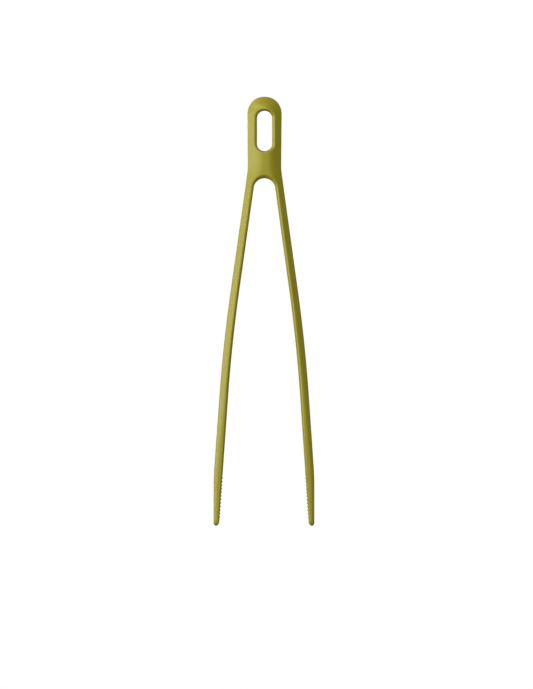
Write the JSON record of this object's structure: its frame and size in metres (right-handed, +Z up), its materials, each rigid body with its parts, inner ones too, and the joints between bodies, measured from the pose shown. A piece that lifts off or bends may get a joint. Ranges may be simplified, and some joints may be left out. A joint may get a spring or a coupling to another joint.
{
  "type": "spring loaded kitchen tongs",
  "caption": "One-handed kitchen tongs: two slim silicone-covered arms on a hairpin spring, ribbed inside the tips, with a rounded head slotted for hanging.",
  "frame": {"origin": "top of the hanging slot's inner wall, midway through the head's depth, where a hook carries the tongs", "axes": "+Z up along the head, tips down; X across the two arms, which open along it; Y through the depth of the slot"},
  "size_m": [0.068, 0.016, 0.2897],
  "materials": {
    "silicone": "satin",
    "spring_steel": "satin",
    "nylon": "matte"
  },
  "bodies": {
    "head": {"head_cover": "silicone", "spring_bow": "spring_steel", "bridge_block": "nylon", "bridge_rivet_upper": "spring_steel", "bridge_rivet_lower": "spring_steel", "left_root_cover": "silicone", "left_spring_leaf": "spring_steel", "right_root_cover": "silicone", "right_spring_leaf": "spring_steel"},
    "left_arm": {"left_arm_cover": "silicone", "left_arm_core": "nylon", "left_core_pin_upper": "spring_steel", "left_core_pin_lower": "spring_steel"},
    "right_arm": {"right_arm_cover": "silicone", "right_arm_core": "nylon", "right_core_pin_upper": "spring_steel", "right_core_pin_lower": "spring_steel"}
  },
  "joints": [
    {"name": "left_arm_flex", "type": "hinge", "parent": "head", "child": "left_arm", "pos_m": [-0.0128, 0, -0.0715], "axis": [0, -1, 0], "range_deg": [0, 8.3], "stiffness_Nm_per_rad": 5.5, "deforming": ["left_root_cover", "left_spring_leaf"]},
    {"name": "right_arm_flex", "type": "hinge", "parent": "head", "child": "right_arm", "pos_m": [0.0128, 0, -0.0715], "axis": [0, 1, 0], "range_deg": [0, 8.3], "stiffness_Nm_per_rad": 5.5, "deforming": ["right_root_cover", "right_spring_leaf"]}
  ]
}
